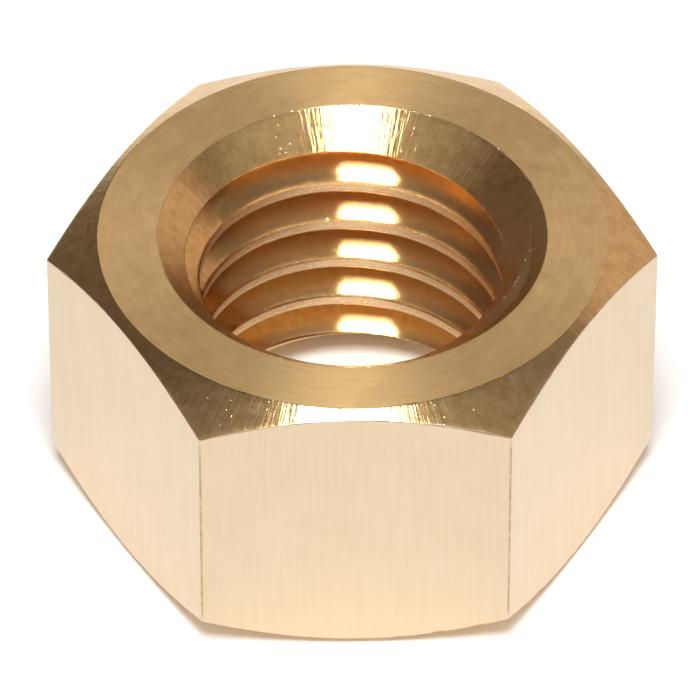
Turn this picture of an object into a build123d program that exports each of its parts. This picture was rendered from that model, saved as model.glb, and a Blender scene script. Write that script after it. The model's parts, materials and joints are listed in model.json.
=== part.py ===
from build123d import *
from build123d.topology import SkipClean
import os
from math import ceil, cos, floor, radians, tan

# Hex nut M12 x 1.75 for an 18 mm spanner, chamfered and countersunk at both ends.
# One solid piece of metal, so one node.
# Millimetres. The origin is the centre of the lower bearing face, on the thread
# axis. +Z runs up the thread axis and one wrench flat faces -Y.

# --- driving dimensions -------------------------------------------------
across_flats = 17.8          # ISO 4032 allows 17.73 to 18.00
height = 10.5                # ISO 4032 allows 10.37 to 10.80
edge_radius = 0.1            # rounding along the six upright edges of the drawn bar
bearing_diameter = 17.1      # flat ring left at each end, inside the corner chamfer
chamfer_angle = 32.0         # mean slope of the corner chamfer below the bearing face
chamfer_crown = 0.02         # how far the turned chamfer bulges from a straight cone
mouth_diameter = 13.1        # countersink where it opens on the bearing face
countersink_angle = 100.0    # included angle of the countersink
pitch = 1.75                 # coarse thread, one start, right hand
minor_diameter = 10.28       # across the thread crests; 6H allows 10.106 to 10.441
pitch_diameter = 11.05       # 6H allows 10.863 to 11.063
flank_angle = 30.0           # each flank, measured from a plane across the axis
root_flat = pitch / 8        # width of the groove bottom, along the axis
crest_edge_at_back = 7.78    # height of one crest's lower edge on the +Y side

# --- derived sizes ------------------------------------------------------
corner_radius = across_flats / 2 / cos(radians(30))
minor_radius = minor_diameter / 2
pitch_radius = pitch_diameter / 2
flank_slope = tan(radians(flank_angle))
root_radius = pitch_radius + (pitch / 2 - root_flat) / 2 / flank_slope
groove_at_crest = pitch / 2 + 2 * (pitch_radius - minor_radius) * flank_slope
countersink_slope = tan(radians(countersink_angle / 2))
countersink_depth = (mouth_diameter / 2 - minor_radius) / countersink_slope

# --- how the hole is cut ------------------------------------------------
sectors = 4                  # bore and groove are cut in quarter turns
overcut = 1.0                # how far a cutter stands clear of the nut
groove_reach = 0.14          # how far the groove cutter starts inside the crests

ON_AXIS = (Align.CENTER, Align.CENTER, Align.MIN)
IN_SECTOR = (Align.NONE, Align.NONE, Align.MIN)


def hexagon_bar():
    """Drawn hexagon bar at the nut's height, with a flat facing -Y."""
    outline = RegularPolygon(radius=corner_radius, side_count=6)
    outline = fillet(outline.vertices(), edge_radius)
    return extrude(outline, amount=height)


def turned_envelope():
    """Turned disc with a shallow, barely crowned chamfer at each end."""
    ring = bearing_diameter / 2
    rim = corner_radius + overcut
    drop = (rim - ring) * tan(radians(chamfer_angle))
    with BuildSketch(Plane.XZ) as profile:
        with BuildLine():
            Line((0, 0), (ring, 0))
            SagittaArc((ring, 0), (rim, drop), -chamfer_crown)
            Line((rim, drop), (rim, height - drop))
            SagittaArc((rim, height - drop), (ring, height), -chamfer_crown)
            Polyline((ring, height), (0, height), (0, 0))
        make_face()
    return revolve(profile.sketch, axis=Axis.Z)


def bore_sector(index):
    """Quarter of the drilled hole."""
    arc = 360 / sectors
    wedge = Cylinder(minor_radius, height + 2 * overcut, arc_size=arc, align=IN_SECTOR)
    return Rot(0, 0, index * arc) * Pos(0, 0, -overcut) * wedge


def groove_sector():
    """Quarter turn of the trapezoid thread groove, starting on the +X side at height 0."""
    inner_radius = minor_radius - groove_reach
    half_inner = groove_at_crest / 2 + groove_reach * flank_slope
    path = Helix(pitch=pitch, height=pitch / sectors, radius=pitch_radius)
    with BuildSketch(Plane.XZ) as profile:
        with BuildLine():
            Polyline(
                (inner_radius, -half_inner),
                (root_radius, -root_flat / 2),
                (root_radius, root_flat / 2),
                (inner_radius, half_inner),
                close=True,
            )
        make_face()
    return sweep(profile.sketch, path=path, is_frenet=True)


def countersink():
    """Cone that opens upward from the bore, standing on its narrow end."""
    depth = countersink_depth + overcut
    return Cone(minor_radius, minor_radius + depth * countersink_slope, depth, align=ON_AXIS)


def hex_nut():
    """The bar inside its turned envelope, then drilled, tapped and countersunk."""
    nut_body = hexagon_bar() & turned_envelope()
    step = pitch / sectors
    groove_on_x = crest_edge_at_back - groove_at_crest / 2 - pitch / 4
    first = floor((-pitch - groove_on_x) / step)
    last = ceil((height + pitch - groove_on_x) / step)
    groove = groove_sector()
    # unmerged, so that every crest stays a row of quarter-turn cylinder faces
    with SkipClean():
        for index in range(sectors):
            nut_body -= bore_sector(index)
        for index in range(first, last):
            turn = Rot(0, 0, index * 360 / sectors)
            nut_body -= Pos(0, 0, groove_on_x + index * step) * turn * groove
        nut_body -= Pos(0, 0, height - countersink_depth) * countersink()
        nut_body -= Pos(0, 0, countersink_depth) * Rot(180, 0, 0) * countersink()
    return nut_body


os.makedirs("parts", exist_ok=True)

nut = hex_nut()
nut.label = "hex_nut"
export_step(nut, "parts/hex_nut.step")
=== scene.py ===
import json
import math

import bpy
import numpy as np
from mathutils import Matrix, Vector


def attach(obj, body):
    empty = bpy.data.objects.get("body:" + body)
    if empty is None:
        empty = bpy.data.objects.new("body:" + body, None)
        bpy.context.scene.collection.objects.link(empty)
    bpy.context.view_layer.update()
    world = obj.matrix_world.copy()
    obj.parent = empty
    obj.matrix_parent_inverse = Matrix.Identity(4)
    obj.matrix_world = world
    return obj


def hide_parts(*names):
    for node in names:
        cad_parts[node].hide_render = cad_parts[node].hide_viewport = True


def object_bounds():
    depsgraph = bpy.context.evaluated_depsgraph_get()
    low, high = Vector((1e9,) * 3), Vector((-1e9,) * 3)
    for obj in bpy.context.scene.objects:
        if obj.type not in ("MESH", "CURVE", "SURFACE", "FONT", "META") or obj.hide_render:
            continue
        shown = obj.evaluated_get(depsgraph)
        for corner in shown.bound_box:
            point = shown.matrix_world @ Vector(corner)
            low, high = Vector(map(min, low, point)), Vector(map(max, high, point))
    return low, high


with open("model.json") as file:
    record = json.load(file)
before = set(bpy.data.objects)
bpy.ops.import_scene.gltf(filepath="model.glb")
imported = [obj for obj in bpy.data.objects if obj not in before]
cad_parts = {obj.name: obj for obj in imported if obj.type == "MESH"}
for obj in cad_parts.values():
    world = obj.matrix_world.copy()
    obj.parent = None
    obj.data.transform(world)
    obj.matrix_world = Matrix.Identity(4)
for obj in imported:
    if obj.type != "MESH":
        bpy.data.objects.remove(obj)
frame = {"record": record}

# Brass hex nut standing on a white table, seen from the front and above.
# Lengths named *_MM are millimetres; everything handed to Blender is metres.
MM = 0.001

cad_low, cad_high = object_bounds()
thread_mount = next(m for m in frame["record"]["mounts"] if m["name"] == "thread")

# --- shape, in millimetres ----------------------------------------------
FLAT_MM = (cad_high.y - cad_low.y) / MM / 2          # axis to a wrench flat
HEIGHT_MM = (cad_high.z - cad_low.z) / MM
MINOR_MM = thread_mount["dims"]["r_mm"]              # axis to a thread crest
BEARING_MM = 8.55                                    # outer radius of the end rings
CHAMFER_SLOPE = math.tan(math.radians(32.0))         # corner chamfer, below the end face
UPRIGHT_ROUND_MM = 0.1                               # along the six upright edges
MOUTH_MM = 6.55                                      # radius where the countersink opens
COUNTERSINK_SLOPE = math.tan(math.radians(50.0))     # change of radius per unit of depth
PITCH_MM = 1.75
PITCH_RADIUS_MM = 5.525
ROOT_FLAT_MM = PITCH_MM / 8                          # width of the groove bottom
FLANK_SLOPE = math.tan(math.radians(30.0))
ROOT_MM = PITCH_RADIUS_MM + (PITCH_MM / 2 - ROOT_FLAT_MM) / 2 / FLANK_SLOPE
GROOVE_AT_CREST_MM = PITCH_MM / 2 + 2 * (PITCH_RADIUS_MM - MINOR_MM) * FLANK_SLOPE
CREST_EDGE_AT_BACK_MM = 7.78                         # height of one crest's lower edge at +Y
GROOVE_AT_X_MM = CREST_EDGE_AT_BACK_MM - GROOVE_AT_CREST_MM / 2 - PITCH_MM / 4

# --- edge roundings, as radii --------------------------------------------
CREST_ROUND_MM = 0.16
ROOT_ROUND_MM = 0.08
BURR_ROUND_MM = 0.03                                 # where thread and countersink meet
MOUTH_ROUND_MM = 0.05
BEARING_ROUND_MM = 0.06
FLAT_EDGE_ROUND_MM = 0.05                            # where chamfers meet wrench flats

# --- wear ----------------------------------------------------------------
NICK_SEED = 12                                       # for every nick, dent and uneven edge
EDGE_WANDER = 0.16                                   # how much the roundings vary
MOUTH_NICKS = 26
BEARING_NICKS = 8
FLAT_EDGE_NICKS = 22
THREAD_DENTS = 60
DENT_MM = 0.03                                       # deepest knock on a crest
CREST_MARK_MM = 0.015                                # how far below a crest its mask fades

# --- how finely it is meshed ---------------------------------------------
FLAT_COLUMNS = 54                                    # across each wrench flat
CORNER_COLUMNS = 6                                   # round each upright edge
BORE_ROWS = 178
SAMPLE_MM = 0.005                                    # fine rows the bore is worked out on
STRAIGHT_WEIGHT = 5.0                                # rows wanted per mm of straight surface
BEND_STEP = math.radians(16)                         # turn allowed between rows on a bend
RING_ROWS = 7
CHAMFER_ROWS = 6
UPRIGHT_ROWS = 16
ROUND_STEPS = 4
SIXTH = math.radians(60)                             # from one upright edge to the next one

FLATS, CHAMFER, RING, BORE = range(4)                # order of the nut's materials
MASKS = ("on_cone", "crest", "edge")                 # point attributes read by the materials


def column_angles():
    """Angles round the axis, gathered where the upright edges are rounded."""
    reach = UPRIGHT_ROUND_MM * math.sin(math.radians(30))
    centre = (FLAT_MM - UPRIGHT_ROUND_MM) / math.cos(math.radians(30))
    turn = np.radians(np.linspace(-30, 30, CORNER_COLUMNS + 1))
    in_corner = np.arctan2(
        UPRIGHT_ROUND_MM * np.sin(turn), centre + UPRIGHT_ROUND_MM * np.cos(turn)
    )
    half = math.atan2(reach, centre + UPRIGHT_ROUND_MM * math.cos(math.radians(30)))
    on_flat = np.linspace(half, SIXTH - half, FLAT_COLUMNS + 1)[1:-1]
    sector = np.concatenate([in_corner, on_flat])
    return np.concatenate([sector + math.radians(60 * k) for k in range(6)])


def from_upright_edge(angle):
    """Angle from the nearest upright edge between two wrench flats."""
    return (angle + SIXTH / 2) % SIXTH - SIXTH / 2


def upright_radius(angle):
    """Axis to the upright side: six flats, with rounded edges at 0, 60, 120 degrees."""
    from_edge = from_upright_edge(angle)
    centre = (FLAT_MM - UPRIGHT_ROUND_MM) / math.cos(math.radians(30))
    under = UPRIGHT_ROUND_MM**2 - (centre * np.sin(from_edge)) ** 2
    rounded = centre * np.cos(from_edge) + np.sqrt(np.maximum(under, 0))
    flat = FLAT_MM / np.cos(math.radians(30) - np.abs(from_edge))
    return np.minimum(flat, np.where(under > 0, rounded, flat))


def rolled(values, radius, sign):
    """Rounds crests (sign 1) or roots (sign -1) with a disc, on fine rows along z."""
    reach = int(round(radius / SAMPLE_MM))
    lift = np.sqrt(np.maximum(radius**2 - (np.arange(-reach, reach + 1) * SAMPLE_MM) ** 2, 0))
    padded = np.pad(sign * values, ((reach, reach), (0, 0)), mode="edge")
    count = len(values)
    grown = np.max([padded[k:k + count] + lift[k] for k in range(2 * reach + 1)], axis=0)
    padded = np.pad(grown, ((reach, reach), (0, 0)), mode="edge")
    return sign * np.min([padded[k:k + count] - lift[k] for k in range(2 * reach + 1)], axis=0)


def uneven_round(angle, radius, nicks, random):
    """Rounding of an edge in each column: it wanders a little, with a few larger nicks."""
    turns = np.arange(3, 40)
    waves = random.normal(0, 1, (2, len(turns), 1)) / np.sqrt(turns)[:, None]
    phase = turns[:, None] * angle
    wander = (waves[0] * np.cos(phase) + waves[1] * np.sin(phase)).sum(0)
    result = radius * np.exp(EDGE_WANDER * wander)
    for _ in range(nicks):
        gap = (angle - random.uniform(0, math.tau) + math.pi) % math.tau - math.pi
        width = math.radians(random.uniform(0.5, 1.3))
        result += radius * random.uniform(0.8, 2.6) * np.exp(-(gap / width) ** 2)
    return result


def dents(angle, z, random):
    """Small knocks along the thread's crests, as an extra radius on the fine rows."""
    extra = np.zeros((len(z), len(angle)))
    for _ in range(THREAD_DENTS):
        at = random.uniform(0, math.tau)
        turn = random.integers(-1, 6)
        edge = random.choice([-1, 1]) * GROOVE_AT_CREST_MM / 2
        height = GROOVE_AT_X_MM % PITCH_MM + PITCH_MM * (turn + at / math.tau) + edge
        depth = DENT_MM * random.uniform(0.4, 1.0)
        gap = ((angle - at + math.pi) % math.tau - math.pi) * MINOR_MM
        across = np.exp(-(gap / random.uniform(0.08, 0.2)) ** 2)
        along = np.exp(-((z - height) / random.uniform(0.05, 0.1)) ** 2)
        extra = np.maximum(extra, depth * along * across)
    return extra


def bore_surface(angle, random):
    """The hole on fine rows along z: heights, radii, and the three masks in MASKS."""
    spare = 4 * CREST_ROUND_MM
    z = np.arange(-spare, HEIGHT_MM + spare, SAMPLE_MM)[:, None]
    groove = GROOVE_AT_X_MM + PITCH_MM * angle[None, :] / math.tau
    off = np.abs((z - groove + PITCH_MM / 2) % PITCH_MM - PITCH_MM / 2)
    thread = np.clip(ROOT_MM - (off - ROOT_FLAT_MM / 2) / FLANK_SLOPE, MINOR_MM, ROOT_MM)
    thread = rolled(rolled(thread, ROOT_ROUND_MM, -1), CREST_ROUND_MM, 1)
    end = np.minimum(z, HEIGHT_MM - z)
    cone = MOUTH_MM - end * COUNTERSINK_SLOPE
    surface = rolled(np.maximum(thread, cone), BURR_ROUND_MM, 1)
    surface += dents(angle, z, random) * np.clip((thread - cone) / CREST_ROUND_MM, 0, 1)
    on_cone = np.clip((cone - thread) / BURR_ROUND_MM + 0.5, 0, 1)
    crest = np.clip(1.0 - (thread - MINOR_MM) / CREST_MARK_MM, 0, 1) * (1 - on_cone)
    burr = np.clip(1.3 - np.abs(cone - thread) / BURR_ROUND_MM, 0, 1)
    return z[:, 0], surface, (on_cone, crest, burr)


def bore_rows(angle, mouth_rounds, random):
    """Points up the hole for every column, close together where the surface turns sharply."""
    z, radius, masks = bore_surface(angle, random)
    slope = np.gradient(radius, SAMPLE_MM, axis=0)
    bend = np.abs(np.gradient(slope, SAMPLE_MM, axis=0)) / (1 + slope**2) ** 1.5
    kernel = np.ones(7) / 7
    bend = np.apply_along_axis(lambda c: np.convolve(c, kernel, "same"), 0, bend)
    weight = np.sqrt(1 + slope**2) * np.sqrt(STRAIGHT_WEIGHT**2 + (bend / BEND_STEP) ** 2)
    bottom = mouth_tangent(mouth_rounds[1])
    top = HEIGHT_MM - mouth_tangent(mouth_rounds[0])
    rows = np.empty((BORE_ROWS + 1, len(angle), 2 + len(MASKS)))
    for column in range(len(angle)):
        total = np.concatenate([[0], np.cumsum(weight[:-1, column] * SAMPLE_MM)])
        low, high = np.interp([bottom[column], top[column]], z, total)
        heights = np.interp(np.linspace(low, high, BORE_ROWS + 1), total, z)
        heights[0], heights[-1] = bottom[column], top[column]
        rows[:, column, 0] = np.interp(heights, z, radius[:, column])
        rows[:, column, 1] = heights
        for place, mask in enumerate(masks):
            rows[:, column, 2 + place] = np.interp(heights, z, mask[:, column])
    return rows


def mouth_tangent(radius):
    """Depth below the end face where the rounded mouth meets the countersink."""
    turn = math.radians(90) - math.atan(COUNTERSINK_SLOPE)
    return radius * math.tan(turn / 2) * math.cos(math.atan(COUNTERSINK_SLOPE))


def rounded_corner(before, corner, after, radius):
    """Arc points that round a corner of the outline, for all columns at once."""
    into = before - corner
    out = after - corner
    into /= np.linalg.norm(into, axis=-1, keepdims=True)
    out /= np.linalg.norm(out, axis=-1, keepdims=True)
    half = np.arccos(np.clip((into * out).sum(-1), -1, 1)) / 2
    bisector = into + out
    bisector /= np.linalg.norm(bisector, axis=-1, keepdims=True)
    centre = corner + bisector * (radius / np.sin(half))[:, None]
    sweep = math.pi / 2 - half
    side = into - bisector * (into * bisector).sum(-1, keepdims=True)
    side /= np.linalg.norm(side, axis=-1, keepdims=True)
    steps = np.linspace(1, -1, ROUND_STEPS + 1)[:, None] * sweep
    return (
        centre
        - (radius * np.cos(steps))[..., None] * bisector
        + (radius * np.sin(steps))[..., None] * side
    )


def straight(start, end, rows):
    """Evenly spaced points strictly between two corners, for all columns at once."""
    share = np.linspace(0, 1, rows + 1)[1:-1, None, None]
    return start + (end - start) * share


def upright_edge(angle):
    """1 on the rounded upright edges between wrench flats, 0 on the flats."""
    return (np.abs(from_upright_edge(angle)) < math.radians(0.25)).astype(float)


def with_masks(points, on_cone, edge):
    """Adds the three masks to points that aren't in the thread."""
    masks = np.zeros((*points.shape[:2], len(MASKS)))
    masks[..., 0] = on_cone
    masks[..., 2] = edge
    return np.concatenate([points, masks], axis=-1)


def nut_rows():
    """The whole outline in each column: up the hole, over the top, down the side, and back."""
    random = np.random.default_rng(NICK_SEED)
    angle = column_angles()
    edge_kinds = [
        (MOUTH_ROUND_MM, MOUTH_NICKS),
        (BEARING_ROUND_MM, BEARING_NICKS),
        (FLAT_EDGE_ROUND_MM, FLAT_EDGE_NICKS),
    ]
    rounds = [
        uneven_round(angle, radius, nicks, random)
        for radius, nicks in edge_kinds + edge_kinds[::-1]
    ]
    hole = bore_rows(angle, (rounds[0], rounds[-1]), random)
    side = upright_radius(angle)
    drop = (side - BEARING_MM) * CHAMFER_SLOPE

    def at(radius, z):
        return np.stack(np.broadcast_arrays(radius + 0 * side, z + 0 * side), axis=-1)

    corners = [
        at(MOUTH_MM, HEIGHT_MM),
        at(BEARING_MM, HEIGHT_MM),
        at(side, HEIGHT_MM - drop),
        at(side, drop),
        at(BEARING_MM, 0),
        at(MOUTH_MM, 0),
    ]
    spans = [
        (RING, RING_ROWS),
        (CHAMFER, CHAMFER_ROWS),
        (FLATS, UPRIGHT_ROWS),
        (CHAMFER, CHAMFER_ROWS),
        (RING, RING_ROWS),
    ]
    # one value for each corner's rounding, in the order above
    on_cone = (1, 0, 0, 0, 0, 1)
    # the second row of flags marks the roundings that carry the edge mask: painted shade along
    # the flats and chamfers, painted glints with burr bumps on the end rings and the bore
    painted_edges = (1, 0, 1, 1, 0, 1)
    sections = [hole[1:-1]]
    band = [BORE] * (BORE_ROWS - 1)
    path = [hole[-1, :, :2]] + corners + [hole[0, :, :2]]
    last = None
    for index, (corner, radius) in enumerate(zip(corners, rounds)):
        arc = rounded_corner(path[index], corner, path[index + 2], radius)
        if last is not None:
            kind, rows = spans[index - 1]
            # the upright edges of the flats carry the edge mask too, for their painted brown
            # shade
            edge = upright_edge(angle) * (kind == FLATS)
            sections.append(with_masks(straight(last, arc[0], rows), 0, edge))
            band += [kind] * rows
        painted_edge = np.full(arc.shape[:2], painted_edges[index])
        painted_edge[[0, -1]] = 0
        sections.append(with_masks(arc, on_cone[index], painted_edge))
        band += [spans[min(index, len(spans) - 1)][0]] * ROUND_STEPS
        last = arc[-1]
    band += [BORE]
    return angle, np.concatenate(sections), band


def build_nut():
    """The nut as one closed mesh of quads, with a material for each kind of surface."""
    angle, rows, band = nut_rows()
    row_count, column_count = rows.shape[:2]
    x = rows[..., 0] * np.cos(angle)
    y = rows[..., 0] * np.sin(angle)
    place = np.stack([x, y, rows[..., 1]], axis=-1).reshape(-1, 3) * MM
    index = np.arange(row_count * column_count).reshape(row_count, column_count)
    above = np.roll(index, -1, axis=0)
    beside = np.roll(index, -1, axis=1)
    across = np.roll(above, -1, axis=1)
    quads = np.stack([index, above, across, beside], axis=-1).reshape(-1, 4)

    mesh = bpy.data.meshes.new("hex_nut_body")
    mesh.from_pydata(place.tolist(), [], quads.tolist())
    kinds = np.repeat(np.array(band[:row_count]), column_count)
    mesh.polygons.foreach_set("material_index", kinds.astype(np.int32))
    mesh.polygons.foreach_set("use_smooth", np.ones(len(quads), bool))
    for column, name in enumerate(MASKS, start=2):
        mask = mesh.attributes.new(name, "FLOAT", "POINT")
        mask.data.foreach_set("value", rows[..., column].reshape(-1).astype(np.float32))
    mesh.validate()
    nut = bpy.data.objects.new("hex_nut_body", mesh)
    bpy.context.scene.collection.objects.link(nut)
    return nut


class Nodes:
    """Short way to build a tree of shader nodes."""

    def __init__(self, tree):
        self.tree = tree

    def add(self, kind, **settings):
        node = self.tree.nodes.new(kind)
        for name, value in settings.items():
            setattr(node, name, value)
        return node

    def put(self, socket, value):
        if isinstance(value, bpy.types.NodeSocket):
            self.tree.links.new(value, socket)
        else:
            socket.default_value = value

    def math(self, operation, *values):
        node = self.add("ShaderNodeMath", operation=operation)
        for socket, value in zip(node.inputs, values):
            self.put(socket, value)
        return node.outputs[0]

    def noise(self, vector, scale, detail=3.0, roughness=0.5):
        node = self.add("ShaderNodeTexNoise")
        self.put(node.inputs["Vector"], vector)
        node.inputs["Scale"].default_value = scale
        node.inputs["Detail"].default_value = detail
        node.inputs["Roughness"].default_value = roughness
        return node.outputs["Fac"]

    def combined(self, x, y, z):
        node = self.add("ShaderNodeCombineXYZ")
        for socket, value in zip(node.inputs, (x, y, z)):
            self.put(socket, value)
        return node.outputs[0]

    def ranged(self, value, low, high, out_low, out_high):
        node = self.add("ShaderNodeMapRange")
        for socket, item in zip(node.inputs, (value, low, high, out_low, out_high)):
            self.put(socket, item)
        return node.outputs[0]

    def blend(self, share, first, second, kind="RGBA"):
        node = self.add("ShaderNodeMix", data_type=kind)
        self.put(node.inputs["Factor"], share)
        self.put(node.inputs["A"], first)
        self.put(node.inputs["B"], second)
        return node.outputs["Result"]

    def bump(self, height, strength, distance_mm):
        node = self.add("ShaderNodeBump")
        node.inputs["Strength"].default_value = strength
        node.inputs["Distance"].default_value = distance_mm * MM
        self.put(node.inputs["Height"], height)
        return node.outputs["Normal"]

    def mask(self, name):
        return self.add("ShaderNodeAttribute", attribute_name=name).outputs["Fac"]

    def split(self, vector):
        node = self.add("ShaderNodeSeparateXYZ")
        self.put(node.inputs[0], vector)
        return node.outputs


class Metal(Nodes):
    """One Principled material; its place is the surface point in millimetres."""

    def __init__(self, name):
        self.material = bpy.data.materials.new(name)
        self.material.use_nodes = True
        super().__init__(self.material.node_tree)
        self.shader = self.tree.nodes["Principled BSDF"]
        coordinates = self.add("ShaderNodeTexCoord")
        scale = self.add("ShaderNodeVectorMath", operation="SCALE")
        scale.inputs["Scale"].default_value = 1 / MM
        self.put(scale.inputs[0], coordinates.outputs["Object"])
        self.place = scale.outputs[0]

    def polar(self):
        """Distance from the thread axis and height in millimetres, cosine and sine round it."""
        x, y, z = self.split(self.place)
        squares = self.math("ADD", self.math("MULTIPLY", x, x), self.math("MULTIPLY", y, y))
        radius = self.math("SQRT", squares)
        return radius, z, self.math("DIVIDE", x, radius), self.math("DIVIDE", y, radius)


def rgb(red, green, blue):
    return (red, green, blue, 1.0)


def finish_metal(nodes, colour, roughness, normal, stretch=0.0):
    """Sets the shader of bare metal; stretch draws its highlights out across the lathe marks."""
    shader = nodes.shader
    shader.inputs["Metallic"].default_value = 1.0
    nodes.put(shader.inputs["Base Color"], colour)
    nodes.put(shader.inputs["Roughness"], roughness)
    nodes.put(shader.inputs["Normal"], normal)
    if stretch:
        shader.inputs["Anisotropic"].default_value = stretch
        shader.inputs["Anisotropic Rotation"].default_value = 0.25
        tangent = nodes.add("ShaderNodeTangent", direction_type="RADIAL", axis="Z")
        nodes.put(shader.inputs["Tangent"], tangent.outputs[0])
    return nodes.material


def turned_marks(nodes, scale):
    """Fine lathe marks running round the axis."""
    radius, z, cosine, sine = nodes.polar()
    across = nodes.math("ADD", radius, nodes.math("MULTIPLY", z, 0.37))
    return nodes.noise(nodes.combined(across, cosine, sine), scale, 4.0, 0.6)


def chatter(nodes, scale):
    """Ribs that run down a turned cone, left by a chattering tool."""
    radius, _, cosine, sine = nodes.polar()
    drift = nodes.math("MULTIPLY", radius, 0.01)
    return nodes.noise(nodes.combined(cosine, sine, drift), scale, 3.0, 0.7)


def sparkle(nodes, scale, size):
    """1 in tiny scattered spots, 0 elsewhere; they serve as burrs with painted glints and as
    pits.
    """
    cells = nodes.add("ShaderNodeTexVoronoi")
    nodes.put(cells.inputs["Vector"], nodes.place)
    cells.inputs["Scale"].default_value = scale
    return nodes.ranged(cells.outputs["Distance"], size, size * 0.4, 0.0, 1.0)


def drawn_flats():
    """Wrench flats as drawn through the die: pale, with fine upright lines and painted brown
    shade along their edges.
    """
    nodes = Metal("brass_drawn")
    x, y, z = nodes.split(nodes.place)
    long_z = nodes.math("MULTIPLY", z, 0.035)
    lines = nodes.noise(nodes.combined(x, y, long_z), 9.0, 4.0, 0.6)
    patches = nodes.noise(nodes.place, 0.55, 2.0)
    pits = sparkle(nodes, 2.2, 0.11)
    colour = nodes.blend(
        nodes.ranged(lines, 0.3, 0.7, 0.0, 1.0), rgb(0.66, 0.535, 0.38), rgb(0.695, 0.57, 0.405)
    )
    colour = nodes.blend(
        nodes.ranged(patches, 0.4, 0.75, 0.0, 0.35), colour, rgb(0.72, 0.60, 0.455)
    )
    colour = nodes.blend(nodes.math("MULTIPLY", pits, 0.3), colour, rgb(0.46, 0.34, 0.22))
    # painted shade: the edge mask turns the rounded edges brown, in patches
    broken = nodes.ranged(nodes.noise(nodes.place, 3.0, 4.0, 0.7), 0.35, 0.6, 0.25, 0.8)
    edge = nodes.math("MULTIPLY", nodes.mask("edge"), broken)
    colour = nodes.blend(edge, colour, rgb(0.38, 0.23, 0.12))
    roughness = nodes.ranged(lines, 0.3, 0.7, 0.32, 0.27)
    normal = nodes.bump(lines, 0.15, 0.004)
    return finish_metal(nodes, colour, roughness, normal)


def turned_ring():
    """End faces: satin, faced on a lathe, with concentric marks, mottling and stains, and
    painted glints on burrs along the mouth.
    """
    nodes = Metal("brass_faced")
    grooves = turned_marks(nodes, 7.0)
    mottle = nodes.noise(nodes.place, 1.4, 5.0, 0.6)
    grain = nodes.noise(nodes.place, 9.0, 3.0, 0.7)
    stains = nodes.noise(nodes.place, 0.5, 4.0, 0.6)
    colour = nodes.blend(
        nodes.ranged(grooves, 0.3, 0.7, 0.0, 1.0), rgb(0.77, 0.51, 0.22), rgb(0.90, 0.62, 0.29)
    )
    colour = nodes.blend(
        nodes.ranged(mottle, 0.4, 0.7, 0.0, 0.45), colour, rgb(0.72, 0.46, 0.185)
    )
    colour = nodes.blend(
        nodes.ranged(grain, 0.35, 0.7, 0.0, 0.4), colour, rgb(0.92, 0.65, 0.33)
    )
    colour = nodes.blend(
        nodes.ranged(stains, 0.56, 0.72, 0.0, 0.35), colour, rgb(0.62, 0.38, 0.16)
    )
    edge_burrs_and_glints = nodes.math("MULTIPLY", nodes.mask("edge"), sparkle(nodes, 3.5, 0.42))
    # painted glints: burr spots on the edge mask turn near white; they are also bumped below
    colour = nodes.blend(edge_burrs_and_glints, colour, rgb(1.0, 0.90, 0.72))
    roughness = nodes.ranged(mottle, 0.3, 0.7, 0.32, 0.37)
    relief = nodes.math("ADD", grooves, nodes.math("MULTIPLY", grain, 0.5))
    relief = nodes.math("ADD", relief, nodes.math("MULTIPLY", edge_burrs_and_glints, 10.0))
    normal = nodes.bump(relief, 0.4, 0.006)
    return finish_metal(nodes, colour, roughness, normal, stretch=0.8)


def bright_cone(nodes, grooves, bright, stained):
    """Colour, roughness and relief of a cone cut bright by a form tool, with burrs that carry
    painted glints.
    """
    stain = nodes.noise(nodes.place, 2.2, 5.0, 0.65)
    burrs_and_glints = sparkle(nodes, 3.0, 0.09)
    colour = nodes.blend(nodes.ranged(stain, 0.38, 0.68, 0.0, 1.0), bright, stained)
    # painted glints: the burr spots are coloured pale gold; they are also bumped below
    colour = nodes.blend(nodes.math("MULTIPLY", burrs_and_glints, 0.5), colour, rgb(0.95, 0.75, 0.45))
    roughness = nodes.ranged(grooves, 0.3, 0.7, 0.17, 0.23)
    ribs = nodes.math("MULTIPLY", chatter(nodes, 40.0), 8.0)
    knocks = nodes.math("MULTIPLY", burrs_and_glints, 5.0)
    relief = nodes.math("ADD", nodes.math("ADD", grooves, ribs), knocks)
    return colour, roughness, relief


def turned_chamfer():
    """Corner chamfers: cut bright by the form tool, with painted shade where they meet the
    flats.
    """
    nodes = Metal("brass_turned")
    colour, roughness, relief = bright_cone(
        nodes, turned_marks(nodes, 10.0), rgb(0.86, 0.60, 0.28), rgb(0.70, 0.45, 0.19)
    )
    # painted shade: the edge mask darkens the rounding where chamfer meets flat
    edge = nodes.math("MULTIPLY", nodes.mask("edge"), 0.6)
    colour = nodes.blend(edge, colour, rgb(0.42, 0.26, 0.13))
    normal = nodes.bump(relief, 0.35, 0.004)
    return finish_metal(nodes, colour, roughness, normal, stretch=0.75)


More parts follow.
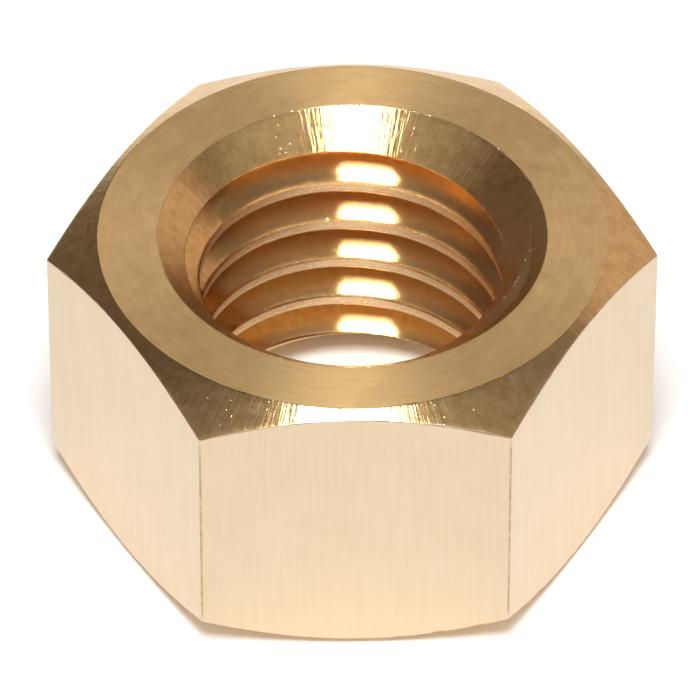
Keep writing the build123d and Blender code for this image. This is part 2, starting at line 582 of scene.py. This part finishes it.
def tapped_bore():
    """Countersinks with fine tool lines, and the tapped thread, glossier, with torn crests;
    painted glints on the crests and on burrs where thread meets countersink.
    """
    nodes = Metal("brass_bore")
    grooves = turned_marks(nodes, 10.0)
    cone = nodes.mask("on_cone")
    crest = nodes.mask("crest")
    cone_colour, cone_roughness, cone_relief = bright_cone(
        nodes, grooves, rgb(0.85, 0.57, 0.25), rgb(0.70, 0.43, 0.17)
    )
    specks = nodes.noise(nodes.place, 4.0, 4.0, 0.6)
    torn = nodes.noise(nodes.place, 14.0, 3.0, 0.7)
    colour = nodes.blend(
        nodes.ranged(specks, 0.35, 0.7, 0.0, 1.0), rgb(0.85, 0.55, 0.24), rgb(0.73, 0.43, 0.165)
    )
    colour = nodes.blend(nodes.math("MULTIPLY", crest, 0.8), colour, rgb(0.88, 0.60, 0.34))
    # painted glints: pale specks scattered along the thread crests
    crest_glints = nodes.math("MULTIPLY", crest, nodes.ranged(torn, 0.50, 0.62, 0.0, 1.0))
    colour = nodes.blend(crest_glints, colour, rgb(1.0, 0.84, 0.60))
    colour = nodes.blend(cone, colour, cone_colour)
    edge_burrs_and_glints = nodes.math("MULTIPLY", nodes.mask("edge"), sparkle(nodes, 3.5, 0.42))
    # painted glints: burr spots where thread meets countersink turn near white
    colour = nodes.blend(edge_burrs_and_glints, colour, rgb(1.0, 0.86, 0.62))
    rough = nodes.ranged(specks, 0.3, 0.7, 0.165, 0.205)
    rough = nodes.math("MAXIMUM", rough, nodes.math("MULTIPLY", crest, 0.38))
    spread = nodes.math("SUBTRACT", cone_roughness, rough)
    rough = nodes.math("ADD", rough, nodes.math("MULTIPLY", spread, cone))
    tears = nodes.math("ADD", nodes.math("MULTIPLY", torn, crest), edge_burrs_and_glints)
    rise = nodes.math("MULTIPLY", nodes.math("SUBTRACT", cone_relief, grooves), cone)
    raised = nodes.math("ADD", grooves, rise)
    relief = nodes.math("ADD", raised, nodes.math("MULTIPLY", tears, 20.0))
    normal = nodes.bump(relief, 0.35, 0.004)
    return finish_metal(nodes, colour, rough, normal, stretch=1.0)


nut = build_nut()
for surface in (drawn_flats(), turned_chamfer(), turned_ring(), tapped_bore()):
    nut.data.materials.append(surface)
even = nut.modifiers.new("weighted_normals", "WEIGHTED_NORMAL")
even.weight = 100
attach(nut, "root")
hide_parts("hex_nut")

# --- table ---------------------------------------------------------------
TABLE_HALF_M = 1.5
TABLE_GAP_MM = 0.01                                  # between the table and the nut
TABLE_GLOW = 0.09                                    # painted warm glow: the table emits a little warm light of its own, for the light the brass throws into its shade
table_mesh = bpy.data.meshes.new("table")
table_mesh.from_pydata(
    [(sx * TABLE_HALF_M, sy * TABLE_HALF_M, cad_low.z - TABLE_GAP_MM * MM)
     for sx, sy in ((-1, -1), (1, -1), (1, 1), (-1, 1))],
    [],
    [(0, 1, 2, 3)],
)
table = bpy.data.objects.new("table", table_mesh)
bpy.context.scene.collection.objects.link(table)
white = bpy.data.materials.new("white_table")
white.use_nodes = True
white_shader = white.node_tree.nodes["Principled BSDF"]
white_shader.inputs["Base Color"].default_value = rgb(0.88, 0.88, 0.88)
white_shader.inputs["Roughness"].default_value = 0.7
white_shader.inputs["Specular IOR Level"].default_value = 0.1
white_shader.inputs["Emission Color"].default_value = rgb(1.0, 0.80, 0.62)
white_shader.inputs["Emission Strength"].default_value = TABLE_GLOW
table_mesh.materials.append(white)


# --- light ---------------------------------------------------------------
LAMP_DISTANCE_M = 0.6
BACKDROP_RADIANCE = 1.2                              # the tent as the camera sees it
LAMPS = (
    # name, azimuth, elevation, width, depth, radiance, colour
    ("overhead_softbox", -3.5, 69, 0.212, 0.25, 22.0, (1.0, 0.995, 0.98)),
    ("right_rear_card", 131, 20, 0.50, 0.36, 0.42, (1.0, 0.74, 0.60)),
    ("rear_card", 180, 44, 0.50, 0.30, 0.52, (1.0, 0.97, 0.92)),
)
nut_centre = (cad_low + cad_high) / 2


def aim(thing, direction, distance, target):
    """Places thing at that distance from target, along direction, facing the target."""
    away = Vector(direction).normalized()
    thing.location = target + away * distance
    thing.rotation_mode = "QUATERNION"
    thing.rotation_quaternion = (-away).to_track_quat("-Z", "Y")


def toward(azimuth, elevation):
    """Unit vector; azimuth 0 is -Y, the front, and 90 is +X; degrees."""
    a, e = math.radians(azimuth), math.radians(elevation)
    return Vector((math.sin(a) * math.cos(e), -math.cos(a) * math.cos(e), math.sin(e)))


def softbox(name, azimuth, elevation, width, depth, radiance, colour):
    """Rectangular lamp facing the nut, whose own face has that radiance."""
    lamp = bpy.data.lights.new(name, "AREA")
    lamp.shape = "RECTANGLE"
    lamp.size, lamp.size_y = width, depth
    lamp.energy = radiance * math.pi * width * depth
    lamp.color = colour
    holder = bpy.data.objects.new(name, lamp)
    bpy.context.scene.collection.objects.link(holder)
    aim(holder, toward(azimuth, elevation), LAMP_DISTANCE_M, nut_centre)


def studio_world():
    """Light tent: brightest at the front and right, darker behind, on the left and overhead."""
    world = bpy.data.worlds.new("studio")
    world.use_nodes = True
    nodes = Nodes(world.node_tree)
    direction = nodes.add("ShaderNodeTexCoord").outputs["Generated"]
    x, y, z = nodes.split(direction)
    sides = nodes.ranged(x, -1.0, 1.0, 0.11, 0.27)
    front = nodes.ranged(y, 0.1, -0.5, 0.0, 0.5)
    roof = nodes.ranged(z, 0.7, 1.0, 0.0, 0.2)
    level = nodes.math("SUBTRACT", nodes.math("ADD", sides, front), roof)
    tint = nodes.blend(
        nodes.ranged(level, 0.1, 0.45, 0.0, 1.0), rgb(1.0, 0.80, 0.78), rgb(1.0, 0.98, 0.95)
    )
    seen = nodes.add("ShaderNodeLightPath").outputs["Is Camera Ray"]
    background = world.node_tree.nodes["Background"]
    nodes.put(background.inputs["Color"], tint)
    strength = nodes.blend(seen, level, BACKDROP_RADIANCE, "FLOAT")
    nodes.put(background.inputs["Strength"], strength)
    return world


for lamp_settings in LAMPS:
    softbox(*lamp_settings)
bpy.context.scene.world = studio_world()

# --- camera --------------------------------------------------------------
CAMERA_AZIMUTH = -0.66
CAMERA_ELEVATION = 42.9
CAMERA_DISTANCE_M = 0.308
LENS_MM = 467.0
SENSOR_MM = 36.0
LENS_SHIFT = (-0.0032857143, -0.002)                 # in picture widths, from the camera fit
camera_data = bpy.data.cameras.new("camera")
camera_data.lens = LENS_MM
camera_data.sensor_width = SENSOR_MM
camera_data.shift_x, camera_data.shift_y = LENS_SHIFT
camera = bpy.data.objects.new("camera", camera_data)
bpy.context.scene.collection.objects.link(camera)
aim(camera, toward(CAMERA_AZIMUTH, CAMERA_ELEVATION), CAMERA_DISTANCE_M, nut_centre)
bpy.context.scene.camera = camera
bpy.context.scene.view_settings.view_transform = "Standard"
